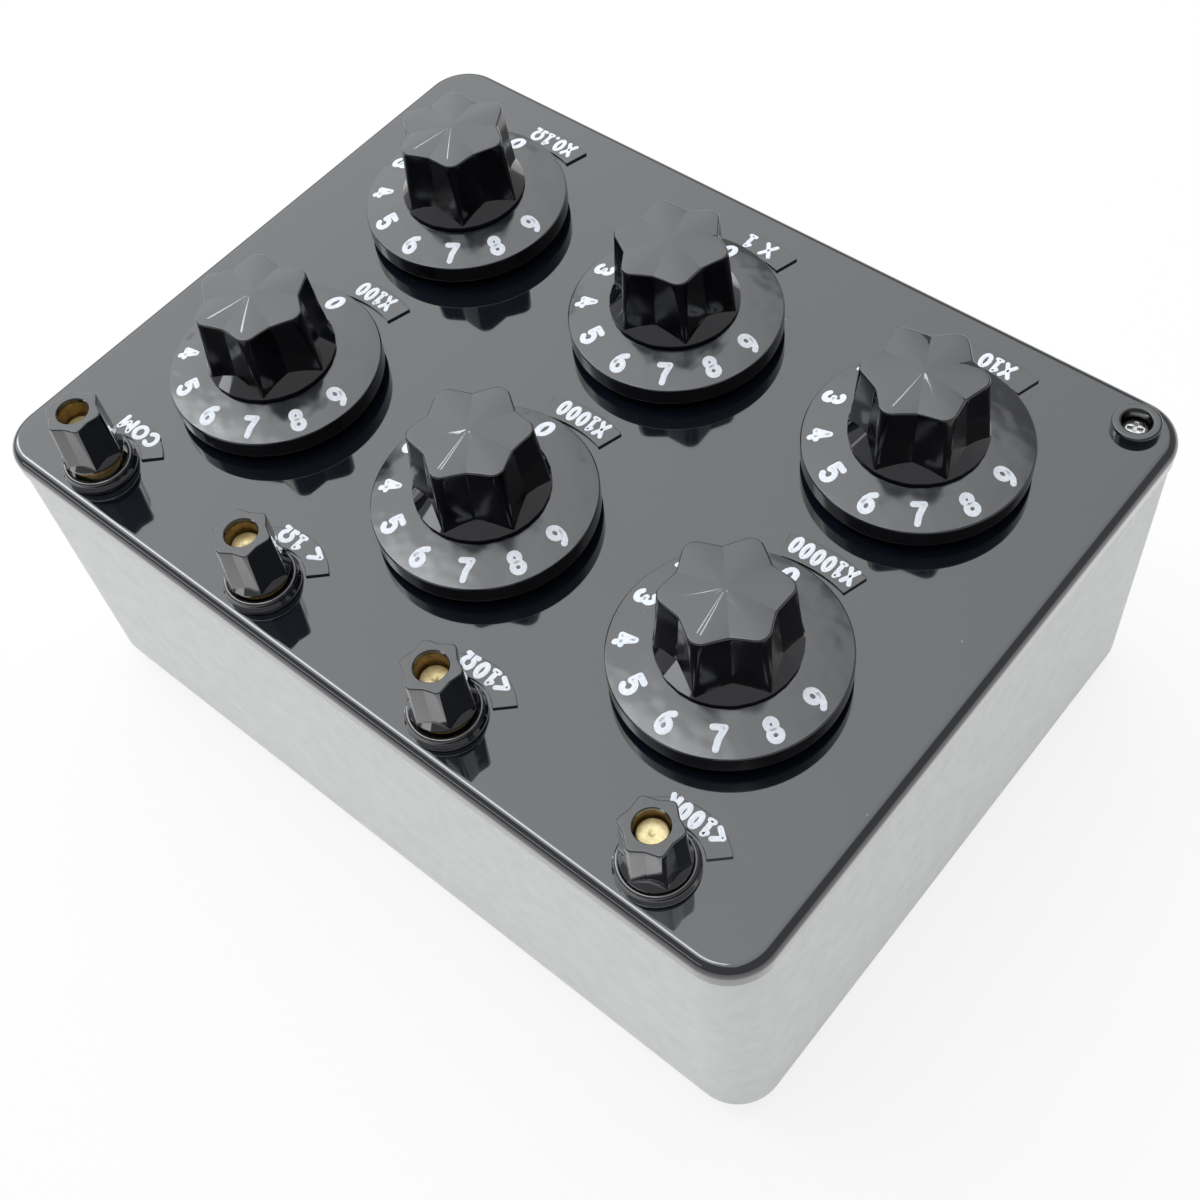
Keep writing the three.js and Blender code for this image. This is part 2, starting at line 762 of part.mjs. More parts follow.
for (const post of posts) {
  const group = new THREE.Group();
  group.position.set(...postPlace(post));
  onPanel.add(group);
  group.add(named(`${post.name}_collar`, collar(), 'blackGloss'));
  group.add(named(`${post.name}_stud`, stud(), 'brass'));
  const raised = new THREE.Group();
  raised.position.z = post.capLift;
  group.add(raised);
  raised.add(named(`${post.name}_insert`, insert(), 'brass'));
  const grip = named(`${post.name}_cap`, cap(), 'blackGloss');
  grip.rotation.z = THREE.MathUtils.degToRad(post.capAngle);
  raised.add(grip);
}

export default box;
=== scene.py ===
import math
import bmesh
import bpy
from mathutils import Matrix, Vector


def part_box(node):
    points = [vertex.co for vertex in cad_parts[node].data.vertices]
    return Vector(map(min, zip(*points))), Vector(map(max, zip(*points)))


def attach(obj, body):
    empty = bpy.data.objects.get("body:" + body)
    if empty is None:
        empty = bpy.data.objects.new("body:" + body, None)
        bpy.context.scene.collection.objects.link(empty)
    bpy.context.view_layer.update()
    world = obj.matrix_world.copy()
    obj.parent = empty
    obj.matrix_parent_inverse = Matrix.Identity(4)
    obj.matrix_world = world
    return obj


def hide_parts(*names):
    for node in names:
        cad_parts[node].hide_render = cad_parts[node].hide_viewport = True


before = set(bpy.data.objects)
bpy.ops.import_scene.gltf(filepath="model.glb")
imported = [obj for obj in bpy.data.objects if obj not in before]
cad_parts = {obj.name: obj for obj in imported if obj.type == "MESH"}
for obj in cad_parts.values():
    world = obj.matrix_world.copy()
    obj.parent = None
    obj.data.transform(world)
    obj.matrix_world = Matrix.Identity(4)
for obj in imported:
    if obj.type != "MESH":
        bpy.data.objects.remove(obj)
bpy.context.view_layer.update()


# The camera stands over the box's rear left corner and looks down across the panel,
# rolled a little. Its lens is given as on a 36 mm wide sensor.
cup_height = 0.0016
panel_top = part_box("panel")[1].z - cup_height
camera_azimuth = math.radians(227.68)
camera_elevation = math.radians(55.77)
camera_roll = math.radians(-9.34)
camera_distance = 0.29889
camera_target = Vector((-0.0109, 0.00964, panel_top - 0.03))

away = Vector((
    math.sin(camera_azimuth) * math.cos(camera_elevation),
    -math.cos(camera_azimuth) * math.cos(camera_elevation),
    math.sin(camera_elevation),
))
level_right = Vector((0, 0, 1)).cross(away).normalized()
level_up = away.cross(level_right)
right = math.cos(camera_roll) * level_right + math.sin(camera_roll) * level_up
up = math.cos(camera_roll) * level_up - math.sin(camera_roll) * level_right
camera = bpy.data.objects.new("camera", bpy.data.cameras.new("camera"))
bpy.context.collection.objects.link(camera)
camera.data.sensor_width = 36
camera.data.lens = 49.79
camera.data.clip_start = 0.01
camera.matrix_world = Matrix((
    (right.x, up.x, away.x, camera_target.x + away.x * camera_distance),
    (right.y, up.y, away.y, camera_target.y + away.y * camera_distance),
    (right.z, up.z, away.z, camera_target.z + away.z * camera_distance),
    (0, 0, 0, 1),
))
bpy.context.scene.camera = camera
bpy.context.scene.view_settings.view_transform = "Standard"


# The studio: one broad softbox over the panel, long thin lamps beyond it, a dim room and
# a pale bench. The rim lamp lights the panel and the posts' collars alone, and the dial
# lamp the dials alone.
def studio_light(name, place, axis, width, depth, energy, spread=180, only=None):
    """A rectangular lamp that shines along minus its axis, its width lying along X."""
    data = bpy.data.lights.new(name, "AREA")
    data.shape = "RECTANGLE"
    data.size = width
    data.size_y = depth
    data.energy = energy
    data.spread = math.radians(spread)
    data.color = (0.95, 0.98, 1)
    lamp = bpy.data.objects.new(name, data)
    axis = Vector(axis).normalized()
    across = Vector((1, 0, 0))
    across = (across - axis * across.dot(axis)).normalized()
    along = axis.cross(across)
    lamp.matrix_world = Matrix.Translation(place) @ Matrix((across, along, axis)).transposed().to_4x4()
    bpy.context.collection.objects.link(lamp)
    if only is not None:
        lamp.light_linking.receiver_collection = only


panel_lit = bpy.data.collections.new("panel_lit")
dial_lit = bpy.data.collections.new("dial_lit")
studio_light("overhead_softbox", (0.32, -0.42, 0.85), (0.45, 0.08, 0.89),
             width=2.0, depth=1.7, energy=10.9, spread=140)
studio_light("far_lamp", (0.4, 0.21, 0.9), (0.4, 0.21, 0.88), width=0.9, depth=0.05, energy=0.7)
studio_light("low_lamp", (0.4, 0.9, 0.42), (0.4, 0.85, 0.35), width=0.9, depth=0.08, energy=0.5)
for name, energy, pieces in (("rim_lamp", 3, panel_lit), ("dial_lamp", 1, dial_lit)):
    studio_light(name, (0.5, 0.12, 0.9), (0.5, 0.12, 0.9),
                 width=1.4, depth=0.14, energy=energy, only=pieces)

world = bpy.data.worlds.new("dim_room")
bpy.context.scene.world = world
world.use_nodes = True
world.node_tree.nodes["Background"].inputs["Color"].default_value = (1, 1, 1, 1)
world.node_tree.nodes["Background"].inputs["Strength"].default_value = 0.35


def new_material(name):
    """An empty node material: its tree, its shader and a Texture Coordinate node."""
    material = bpy.data.materials.new(name)
    material.use_nodes = True
    tree = material.node_tree
    return material, tree, tree.nodes["Principled BSDF"], tree.nodes.new("ShaderNodeTexCoord")


def add_node(tree, kind, **values):
    """A node of one kind, with its settings and the values of its sockets."""
    node = tree.nodes.new(kind)
    for key, value in values.items():
        if key in node.inputs:
            node.inputs[key].default_value = value
        else:
            setattr(node, key, value)
    return node


def deselect():
    for other in list(bpy.context.selected_objects):
        other.select_set(False)


# Camera, glossy and transmission rays see the bench mostly white; its shadow stays.
bench_whiteness = 0.8
bench_material, bench_tree, bench_shader, _ = new_material("pale_bench")
bench_shader.inputs["Base Color"].default_value = (0.93, 0.93, 0.93, 1)
bench_shader.inputs["Roughness"].default_value = 0.7
bench_glow = add_node(bench_tree, "ShaderNodeEmission", Strength=1.0)
seen = bench_tree.nodes.new("ShaderNodeLightPath").outputs
seen_share = seen["Is Camera Ray"]
for kind in ("Is Glossy Ray", "Is Transmission Ray"):
    either = add_node(bench_tree, "ShaderNodeMath")
    bench_tree.links.new(seen_share, either.inputs[0])
    bench_tree.links.new(seen[kind], either.inputs[1])
    seen_share = either.outputs[0]
part_white = add_node(bench_tree, "ShaderNodeMath", operation="MULTIPLY")
part_white.inputs[1].default_value = bench_whiteness
bench_tree.links.new(seen_share, part_white.inputs[0])
bench_mix = bench_tree.nodes.new("ShaderNodeMixShader")
bench_tree.links.new(part_white.outputs[0], bench_mix.inputs[0])
bench_tree.links.new(bench_shader.outputs[0], bench_mix.inputs[1])
bench_tree.links.new(bench_glow.outputs[0], bench_mix.inputs[2])
bench_tree.links.new(bench_mix.outputs[0], bench_tree.nodes["Material Output"].inputs["Surface"])
deselect()
bpy.ops.mesh.primitive_plane_add(size=8, location=(0, 0, 0))
bench = bpy.context.object
bench.name = "pale_bench"
bench.data.materials.append(bench_material)


# Housing: a deep tray cast in light alloy and sprayed silver grey, with softly rounded
# corners and bottom edge. Three case screws sit deep in counterbores in its underside.
housing_low, housing_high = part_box("housing")
housing_corner_radius = 0.0085
housing_wall = 0.0022
housing_edge_radius = 0.0025
housing_draft = 0.0003
counterbore_radius = 0.0033
counterbore_depth = 0.018
column_radius = 0.005
panel_boss_reach = 0.01265
column_top = panel_top - panel_boss_reach
cut_past = 0.001
screw_place = Vector((0.0751, 0.0553))
seal_corner = (-1, -1)
screw_corners = ((1, -1), (1, 1), (-1, 1))


def edit(obj):
    """Opens one object alone in edit mode and gives its mesh."""
    if bpy.context.mode != "OBJECT":
        bpy.ops.object.mode_set(mode="OBJECT")
    deselect()
    bpy.context.view_layer.objects.active = obj
    obj.select_set(True)
    bpy.ops.object.mode_set(mode="EDIT")
    bpy.ops.mesh.select_mode(type="VERT")
    return bmesh.from_edit_mesh(obj.data)


def choose(obj, kind, test):
    """Selects, in edit mode, the faces, edges or vertices whose points pass a test."""
    mesh = bmesh.from_edit_mesh(obj.data)
    bpy.ops.mesh.select_all(action="DESELECT")
    bpy.ops.mesh.select_mode(type=kind)
    parts = {"VERT": mesh.verts, "EDGE": mesh.edges, "FACE": mesh.faces}[kind]
    for part in parts:
        points = [part.co] if kind == "VERT" else [vertex.co for vertex in part.verts]
        if test(points):
            part.select_set(True)
    bmesh.update_edit_mesh(obj.data)


def leave():
    bpy.ops.object.mode_set(mode="OBJECT")


def apply_modifier(obj, kind, **settings):
    deselect()
    bpy.context.view_layer.objects.active = obj
    obj.select_set(True)
    modifier = obj.modifiers.new(kind.lower(), kind)
    for key, value in settings.items():
        setattr(modifier, key, value)
    bpy.ops.object.modifier_apply(modifier=modifier.name)


def smooth(obj, degrees=35):
    deselect()
    bpy.context.view_layer.objects.active = obj
    obj.select_set(True)
    bpy.ops.object.shade_smooth_by_angle(angle=math.radians(degrees))
    apply_modifier(obj, "WEIGHTED_NORMAL", keep_sharp=True, weight=80)


def settle(obj):
    """Puts an object's place, turn and scale into its mesh."""
    deselect()
    bpy.context.view_layer.objects.active = obj
    obj.select_set(True)
    bpy.ops.object.transform_apply(location=True, rotation=True, scale=True)


def near(value, target, reach=0.00001):
    return abs(value - target) < reach


def rounded_slab(name, low, high, corner_radius, segments):
    """A box whose four upright edges are rounded."""
    deselect()
    bpy.ops.mesh.primitive_cube_add(size=1, location=(low + high) / 2, scale=high - low)
    slab = bpy.context.object
    slab.name = name
    settle(slab)
    edit(slab)
    choose(slab, "EDGE", lambda points: not near(points[0].z, points[1].z))
    bpy.ops.mesh.bevel(offset=corner_radius, segments=segments, affect="EDGES")
    leave()
    return slab


def rod(name, place, radius, bottom, top, vertices=48):
    deselect()
    bpy.ops.mesh.primitive_cylinder_add(
        vertices=vertices, radius=radius, depth=top - bottom,
        location=(place[0], place[1], (top + bottom) / 2))
    piece = bpy.context.object
    piece.name = name
    settle(piece)
    return piece


def merge_pieces(pieces):
    """Joins objects into the first one."""
    deselect()
    for piece in pieces:
        piece.select_set(True)
    bpy.context.view_layer.objects.active = pieces[0]
    bpy.ops.object.join()
    return pieces[0]


def boolean(obj, tool, operation):
    apply_modifier(obj, "BOOLEAN", operation=operation, object=tool, solver="EXACT")
    bpy.data.objects.remove(tool)


housing = rounded_slab("housing_shell", housing_low, housing_high, housing_corner_radius, 12)
housing_size = housing_high - housing_low
edit(housing)
choose(housing, "VERT", lambda points: near(points[0].z, housing_low.z))
bpy.ops.transform.resize(value=(
    1 - 2 * housing_draft / housing_size.x, 1 - 2 * housing_draft / housing_size.y, 1))
choose(housing, "EDGE", lambda points: all(near(point.z, housing_low.z) for point in points))
bpy.ops.mesh.bevel(offset=housing_edge_radius, segments=6, affect="EDGES")
choose(housing, "FACE", lambda points: all(near(point.z, housing_high.z) for point in points))
bpy.ops.mesh.delete(type="FACE")
leave()
apply_modifier(housing, "SOLIDIFY", thickness=housing_wall, offset=-1, use_even_offset=True)
columns = merge_pieces([
    rod("column", (side_x * screw_place.x, side_y * screw_place.y), column_radius,
        housing_low.z + housing_wall / 2, column_top)
    for side_x, side_y in (seal_corner, *screw_corners)])
boolean(housing, columns, "UNION")
counterbores = merge_pieces([
    rod("counterbore", (side_x * screw_place.x, side_y * screw_place.y), counterbore_radius,
        housing_low.z - cut_past, housing_low.z + counterbore_depth)
    for side_x, side_y in screw_corners])
boolean(housing, counterbores, "DIFFERENCE")
smooth(housing)


def noise(tree, coordinates, scale, detail=3.0, roughness=0.5):
    node = add_node(tree, "ShaderNodeTexNoise", Scale=scale, Detail=detail, Roughness=roughness)
    tree.links.new(coordinates.outputs["Object"], node.inputs["Vector"])
    return node


def ramp(tree, source, *stops):
    """A colour ramp over a value; each stop is a place and a grey or a colour."""
    node = tree.nodes.new("ShaderNodeValToRGB")
    elements = node.color_ramp.elements
    while len(elements) < len(stops):
        elements.new(0.5)
    for element, (place, colour) in zip(elements, stops):
        element.position = place
        tint = colour if isinstance(colour, tuple) else (colour, colour, colour)
        element.color = (*tint, 1)
    tree.links.new(source, node.inputs["Fac"])
    return node.outputs["Color"]


def bump(tree, source, distance, strength=1.0, under=None):
    node = add_node(tree, "ShaderNodeBump", Distance=distance, Strength=strength)
    tree.links.new(source, node.inputs["Height"])
    if under is not None:
        tree.links.new(under, node.inputs["Normal"])
    return node.outputs["Normal"]


def sprayed_silver():
    """Matt silver-grey paint with a faint cloudy mottle and the casting's small dents."""
    material, tree, shader, coordinates = new_material("sprayed_silver")
    cloud = noise(tree, coordinates, 240, detail=6, roughness=0.7)
    colour = ramp(tree, cloud.outputs["Fac"],
                  (0.3, (0.72, 0.725, 0.725)), (0.5, (0.765, 0.77, 0.77)), (0.7, (0.81, 0.815, 0.815)))
    tree.links.new(colour, shader.inputs["Base Color"])
    grain = noise(tree, coordinates, 1500, detail=2)
    tree.links.new(ramp(tree, grain.outputs["Fac"], (0.3, 0.4), (0.7, 0.52)), shader.inputs["Roughness"])
    dents = noise(tree, coordinates, 420, detail=3)
    fine = bump(tree, grain.outputs["Fac"], 0.00004)
    tree.links.new(bump(tree, dents.outputs["Fac"], 0.0003, 0.5, fine), shader.inputs["Normal"])
    shader.inputs["Metallic"].default_value = 0.12
    return material


def ride(piece, body, slot, *nodes):
    """Fixes a piece to its body and hides the solids it stands for; its slot is not used."""
    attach(piece, body)
    if nodes:
        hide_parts(*nodes)


def paint(node, material):
    """Gives a kept CAD node its finish."""
    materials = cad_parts[node].data.materials
    materials.clear()
    materials.append(material)


silver = sprayed_silver()
housing.data.materials.append(silver)
ride(housing, "case", "housing_metal", "housing")


# Feet and case screws: round black rubber feet stuck under the floor, and plated steel
# screws with plain cylinder heads, turned up from below into the panel's bosses.
def turned(name, profile, steps, closed=False):
    """Draws a profile of (radius, height) points by extruding, and spins it round Z."""
    deselect()
    bpy.ops.mesh.primitive_plane_add(size=0.001, location=(0, 0, 0))
    piece = bpy.context.object
    piece.name = name
    edit(piece)
    bpy.ops.mesh.select_all(action="SELECT")
    bpy.ops.mesh.merge(type="CENTER")
    first = Vector((profile[0][0], 0, profile[0][1]))
    bpy.ops.transform.translate(value=first)
    outline = list(profile) + ([profile[0]] if closed else [])
    for (radius, height), (next_radius, next_height) in zip(outline, outline[1:]):
        move = (next_radius - radius, 0, next_height - height)
        bpy.ops.mesh.extrude_region_move(TRANSFORM_OT_translate={"value": move})
    bpy.ops.mesh.select_all(action="SELECT")
    bpy.ops.mesh.spin(steps=steps, angle=2 * math.pi, center=(0, 0, 0), axis=(0, 0, 1))
    bpy.ops.mesh.select_all(action="SELECT")
    bpy.ops.mesh.remove_doubles(threshold=0.000002)
    bpy.ops.mesh.normals_make_consistent(inside=False)
    leave()
    return piece


def round_edges(obj, width, segments=3, degrees=30):
    apply_modifier(obj, "BEVEL", width=width, segments=segments, limit_method="ANGLE",
                   angle_limit=math.radians(degrees), use_clamp_overlap=True)


def copy_to(piece, name, place, turn=0.0):
    """A copy with its own mesh, turned about Z and moved."""
    twin = piece.copy()
    twin.data = piece.data.copy()
    twin.name = name
    twin.data.transform(Matrix.Translation(place) @ Matrix.Rotation(turn, 4, "Z"))
    bpy.context.collection.objects.link(twin)
    return twin


def black_rubber():
    material, tree, shader, coordinates = new_material("black_rubber")
    grain = noise(tree, coordinates, 2500)
    colour = ramp(tree, grain.outputs["Fac"], (0.3, 0.012), (0.7, 0.022))
    tree.links.new(colour, shader.inputs["Base Color"])
    tree.links.new(bump(tree, grain.outputs["Fac"], 0.00004), shader.inputs["Normal"])
    shader.inputs["Roughness"].default_value = 0.75
    return material


def plated_steel():
    material, tree, shader, coordinates = new_material("plated_steel")
    grain = noise(tree, coordinates, 1800)
    colour = ramp(tree, grain.outputs["Fac"], (0.3, (0.52, 0.52, 0.5)), (0.7, (0.72, 0.72, 0.7)))
    tree.links.new(colour, shader.inputs["Base Color"])
    tree.links.new(ramp(tree, grain.outputs["Fac"], (0.3, 0.18), (0.7, 0.34)), shader.inputs["Roughness"])
    shader.inputs["Metallic"].default_value = 1
    return material


foot_radius = 0.006
foot_taper = 0.0004
foot_edge = 0.0002
foot_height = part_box("foot_1")[1].z
rubber = black_rubber()
foot_pattern = turned("foot_pattern", [
    (0, 0), (foot_radius - foot_taper - foot_edge, 0), (foot_radius - foot_taper, foot_edge),
    (foot_radius, foot_height), (0, foot_height)], 48)
round_edges(foot_pattern, 0.0003)
smooth(foot_pattern)
foot_pattern.data.materials.append(rubber)
for number in range(1, 5):
    low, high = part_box(f"foot_{number}")
    place = ((low.x + high.x) / 2, (low.y + high.y) / 2, 0)
    foot = copy_to(foot_pattern, f"rubber_foot_{number}", place)
    ride(foot, "case", "foot_rubber", f"foot_{number}")
bpy.data.objects.remove(foot_pattern)

steel = plated_steel()
for number in range(1, 4):
    paint(f"case_screw_{number}", steel)


# Panel: one glossy black moulding with a rounded rim. Low plates raised from its face
# carry the white filled marks, and a small cup stands round the sealing screw.
panel_low, panel_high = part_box("panel")
panel_thickness = 0.0045
panel_corner_radius = 0.0085
panel_edge_radius = 0.002
panel_lip_radius = 0.0004
panel_face_inset = 0.0002
spindle_hole_radius = 0.0033
post_hole_radius = 0.0043
cup_bore = 0.00245
dial_pitch = 0.05
row_middle = -0.004
post_side_inset = 0.0211
post_rear_inset = 0.0085

# Each decade: its name, column and row, the turns of its dial's digits and of its knob at
# rest in degrees, and its mark.
decades = [
    ("x10000", -1, 1, 1.7, 41, "X10000"), ("x1000", 0, 1, 1.5, 39, "X1000"),
    ("x100", 1, 1, 1.2, 10, "X100"), ("x10", -1, -1, 4.4, 26, "X10"),
    ("x1", 0, -1, 1.5, 18, "X 1"), ("x0_1", 1, -1, 3.4, 12, "X0.1Ω"),
]

# Each post: its name, its place along the row in pitches, its cap's lift and turn at
# rest, and its mark.
posts = [
    ("post_1", 1.5, 0.0016, 28, "COM"), ("post_2", 0.5, 0.0008, 25, "< 1Ω"),
    ("post_3", -0.5, 0.0012, 26, "<10Ω"), ("post_4", -1.5, 0.0, 26, "<100K"),
]
post_pitch = (panel_high.x - panel_low.x - 2 * post_side_inset) / (len(posts) - 1)


def decade_place(column, row):
    return Vector((column * dial_pitch, row_middle + row * dial_pitch / 2, panel_top))


def post_place(place):
    return Vector((place * post_pitch, panel_high.y - post_rear_inset, panel_top))


def wavy_gloss(name, wave_scale, wave_height, dust, softness=0.02):
    """Polished black moulding compound: faint waves and dust; softness blurs its mirror."""
    material, tree, shader, coordinates = new_material(name)
    specks = add_node(tree, "ShaderNodeTexVoronoi", Scale=220.0)
    tree.links.new(coordinates.outputs["Object"], specks.inputs["Vector"])
    dots = ramp(tree, specks.outputs["Distance"], (0.0, 1.0), (dust, 0.0))
    patches = noise(tree, coordinates, 60, detail=2)
    where = ramp(tree, patches.outputs["Fac"], (0.6, 0.0), (0.68, 1.0))
    dusty = add_node(tree, "ShaderNodeMath", operation="MULTIPLY")
    tree.links.new(dots, dusty.inputs[0])
    tree.links.new(where, dusty.inputs[1])
    colour = ramp(tree, dusty.outputs[0], (0.0, (0.0042, 0.0055, 0.0095)), (0.6, (0.5, 0.5, 0.5)))
    tree.links.new(colour, shader.inputs["Base Color"])
    haze = noise(tree, coordinates, 45, detail=5, roughness=0.65)
    rougher = ramp(tree, haze.outputs["Fac"], (0.3, softness + 0.01), (0.75, softness + 0.08))
    tree.links.new(rougher, shader.inputs["Roughness"])
    waves = noise(tree, coordinates, wave_scale, detail=1)
    tree.links.new(bump(tree, waves.outputs["Fac"], wave_height), shader.inputs["Normal"])
    shader.inputs["IOR"].default_value = 1.6
    shader.inputs["Coat Weight"].default_value = 1
    shader.inputs["Coat IOR"].default_value = 1.55
    shader.inputs["Coat Roughness"].default_value = softness
    return material


def white_fill():
    """White paint wiped into the engraved marks, slightly uneven and bluish."""
    material, tree, shader, coordinates = new_material("white_fill")
    blotches = noise(tree, coordinates, 1600, detail=3)
    colour = ramp(tree, blotches.outputs["Fac"], (0.3, (0.8, 0.84, 0.93)), (0.6, (0.92, 0.95, 1.0)))
    tree.links.new(colour, shader.inputs["Base Color"])
    tree.links.new(bump(tree, blotches.outputs["Fac"], 0.0001), shader.inputs["Normal"])
    shader.inputs["Roughness"].default_value = 0.45
    return material


panel_black = wavy_gloss("panel_black", 70, 0.00006, 0.05)
white = white_fill()

panel = rounded_slab(
    "panel_moulding",
    Vector((panel_low.x, panel_low.y, panel_top - panel_thickness)),
    Vector((panel_high.x, panel_high.y, panel_top)),
    panel_corner_radius, 14)
edit(panel)
choose(panel, "EDGE", lambda points: all(near(point.z, panel_top) for point in points))
bpy.ops.mesh.bevel(offset=panel_edge_radius, segments=8, affect="EDGES")
choose(panel, "FACE", lambda points: all(near(point.z, panel_top) for point in points))
bpy.ops.mesh.inset(thickness=panel_face_inset)
choose(panel, "EDGE", lambda points: all(near(point.z, panel_top - panel_thickness) for point in points))
bpy.ops.mesh.bevel(offset=panel_lip_radius, segments=3, affect="EDGES")
leave()
drillings = [(decade_place(column, row), spindle_hole_radius) for _, column, row, *_ in decades]
drillings += [(post_place(place), post_hole_radius) for _, place, *_ in posts]
drillings.append((-screw_place, cup_bore))
drills = merge_pieces([
    rod("drill", place, radius, panel_top - panel_thickness - cut_past, panel_top + cut_past)
    for place, radius in drillings])
boolean(panel, drills, "DIFFERENCE")
smooth(panel)
panel.data.materials.append(panel_black)
ride(panel, "case", "panel_moulding", "panel")
panel_lit.objects.link(panel)


def sector_plate(name, centre, inner, outer, half_angle, height):
    """A low plate: a small upright rectangle swept round part of a circle."""
    start = math.radians(-90) + half_angle
    deselect()
    bpy.ops.mesh.primitive_plane_add(size=1, location=(0, 0, 0))
    plate = bpy.context.object
    plate.name = name
    plate.scale = (outer - inner, 2 * height, 1)
    plate.rotation_euler = (math.radians(90), 0, 0)
    plate.location = ((inner + outer) / 2, 0, 0)
    settle(plate)
    plate.data.transform(Matrix.Translation(centre) @ Matrix.Rotation(start, 4, "Z"))
    edit(plate)
    bpy.ops.mesh.select_all(action="SELECT")
    bpy.ops.mesh.spin(steps=28, angle=2 * half_angle, center=centre, axis=(0, 0, 1))
    bpy.ops.mesh.select_all(action="SELECT")
    bpy.ops.mesh.normals_make_consistent(inside=False)
    leave()
    round_edges(plate, 0.00012)
    smooth(plate)
    plate.data.materials.append(panel_black)
    return plate


def arc(centre_x, centre_y, across, upward, start, end):
    """Points along part of an ellipse, one in every 24 degrees or so."""
    steps = max(3, round(abs(end - start) / 24))
    angles = [math.radians(start + (end - start) * step / steps) for step in range(steps + 1)]
    return [(centre_x + across * math.cos(angle), centre_y + upward * math.sin(angle)) for angle in angles]


# Each mark is a few strokes, in shares of its height: lines, and arcs of ellipses.
strokes = {
    "0": [arc(0, 0.5, 0.25, 0.5, 90, 450)],
    "1": [[(0, 0), (0, 1)], [(0, 1), (-0.2, 0.78)], [(-0.16, 0), (0.16, 0)]],
    "2": [arc(0, 0.72, 0.27, 0.28, 160, -42) + [(-0.26, 0)], [(-0.26, 0), (0.28, 0)]],
    "3": [arc(0, 0.75, 0.24, 0.25, 150, -90), arc(0, 0.26, 0.27, 0.26, 90, -150)],
    "4": [[(0.1, 0), (0.1, 1)], [(0.1, 1), (-0.28, 0.3)], [(-0.28, 0.3), (0.28, 0.3)]],
    "5": [[(0.24, 1), (-0.2, 1)], [(-0.2, 1), (-0.23, 0.58)], arc(-0.02, 0.32, 0.28, 0.32, 138, -145)],
    "6": [arc(0, 0.3, 0.26, 0.3, 0, 360), arc(0.26, 0.34, 0.52, 0.66, 180, 104)],
    "7": [[(-0.26, 1), (0.27, 1)], [(0.27, 1), (0.02, 0.45), (-0.06, 0)]],
    "8": [arc(0, 0.77, 0.22, 0.23, 0, 360), arc(0, 0.255, 0.27, 0.255, 0, 360)],
    "9": [arc(0, 0.7, 0.26, 0.3, 0, 360), arc(-0.26, 0.66, 0.52, 0.66, 0, -76)],
    "X": [[(-0.3, 0), (0.3, 1)], [(-0.3, 1), (0.3, 0)]],
    "C": [arc(0, 0.5, 0.33, 0.5, 48, 312)],
    "O": [arc(0, 0.5, 0.34, 0.5, 90, 450)],
    "M": [[(-0.36, 0), (-0.36, 1)], [(-0.36, 1), (0, 0.3)], [(0, 0.3), (0.36, 1)], [(0.36, 1), (0.36, 0)]],
    "K": [[(-0.26, 0), (-0.26, 1)], [(-0.26, 0.42), (0.27, 1)], [(-0.08, 0.6), (0.28, 0)]],
    "<": [[(0.3, 0.92), (-0.3, 0.5)], [(-0.3, 0.5), (0.3, 0.08)]],
    "Ω": [[(-0.38, 0), (-0.16, 0)] + arc(0, 0.6, 0.34, 0.4, 236, -56) + [(0.16, 0), (0.38, 0)]],
    ".": [[(0, 0), (0, 0.02)]],
    " ": [],
}


def with_round_ends(points, weight):
    """The points of one stroke with their share of its width, narrowed round each end."""
    rounding = [(math.sin(math.radians(turn)), math.cos(math.radians(turn))) for turn in (80, 55, 30)]
    before = (points[0] - points[1]).normalized() * weight / 2
    after = (points[-1] - points[-2]).normalized() * weight / 2
    beads = [(points[0] + before * out, size) for out, size in rounding]
    beads += [(point, 1.0) for point in points]
    return beads + [(points[-1] + after * out, size) for out, size in reversed(rounding)]


def lettering(text, height, length, weight, depth):
    """White marks of one stroke width with round ends, centred on the origin and facing up."""
    deselect()
    bpy.ops.curve.primitive_nurbs_path_add(location=(0, 0, 0))
    marks = bpy.context.object
    marks.data.splines.clear()
    marks.data.bevel_depth = weight / 2
    marks.data.bevel_resolution = 1
    marks.data.use_fill_caps = True
    reach = height - weight
    between = weight * 1.22
    spans = [[x for path in strokes[letter] for x, _ in path] or [-0.12, 0.12] for letter in text]
    widths = [max(span) - min(span) for span in spans]
    stretch = (length - weight - between * (len(text) - 1)) / sum(widths)
    pen = 0.0
    for letter, span, width in zip(text, spans, widths):
        for path in strokes[letter]:
            points = [Vector((pen + (x - min(span)) * stretch, (y - 0.5) * reach)) for x, y in path]
            beads = with_round_ends(points, weight)
            spline = marks.data.splines.new("POLY")
            spline.points.add(len(beads) - 1)
            for bead, (point, size) in zip(spline.points, beads):
                bead.co = (point.x, point.y, 0, 1)
                bead.radius = size
        pen += width * stretch + between
    bpy.ops.object.convert(target="MESH")
    marks = bpy.context.object
    flat = Matrix.Diagonal((1, 1, 2 * depth / weight, 1))
    marks.data.transform(flat @ Matrix.Translation((-(pen - between) / 2, 0, 0)))
    smooth(marks, 60)
    return marks


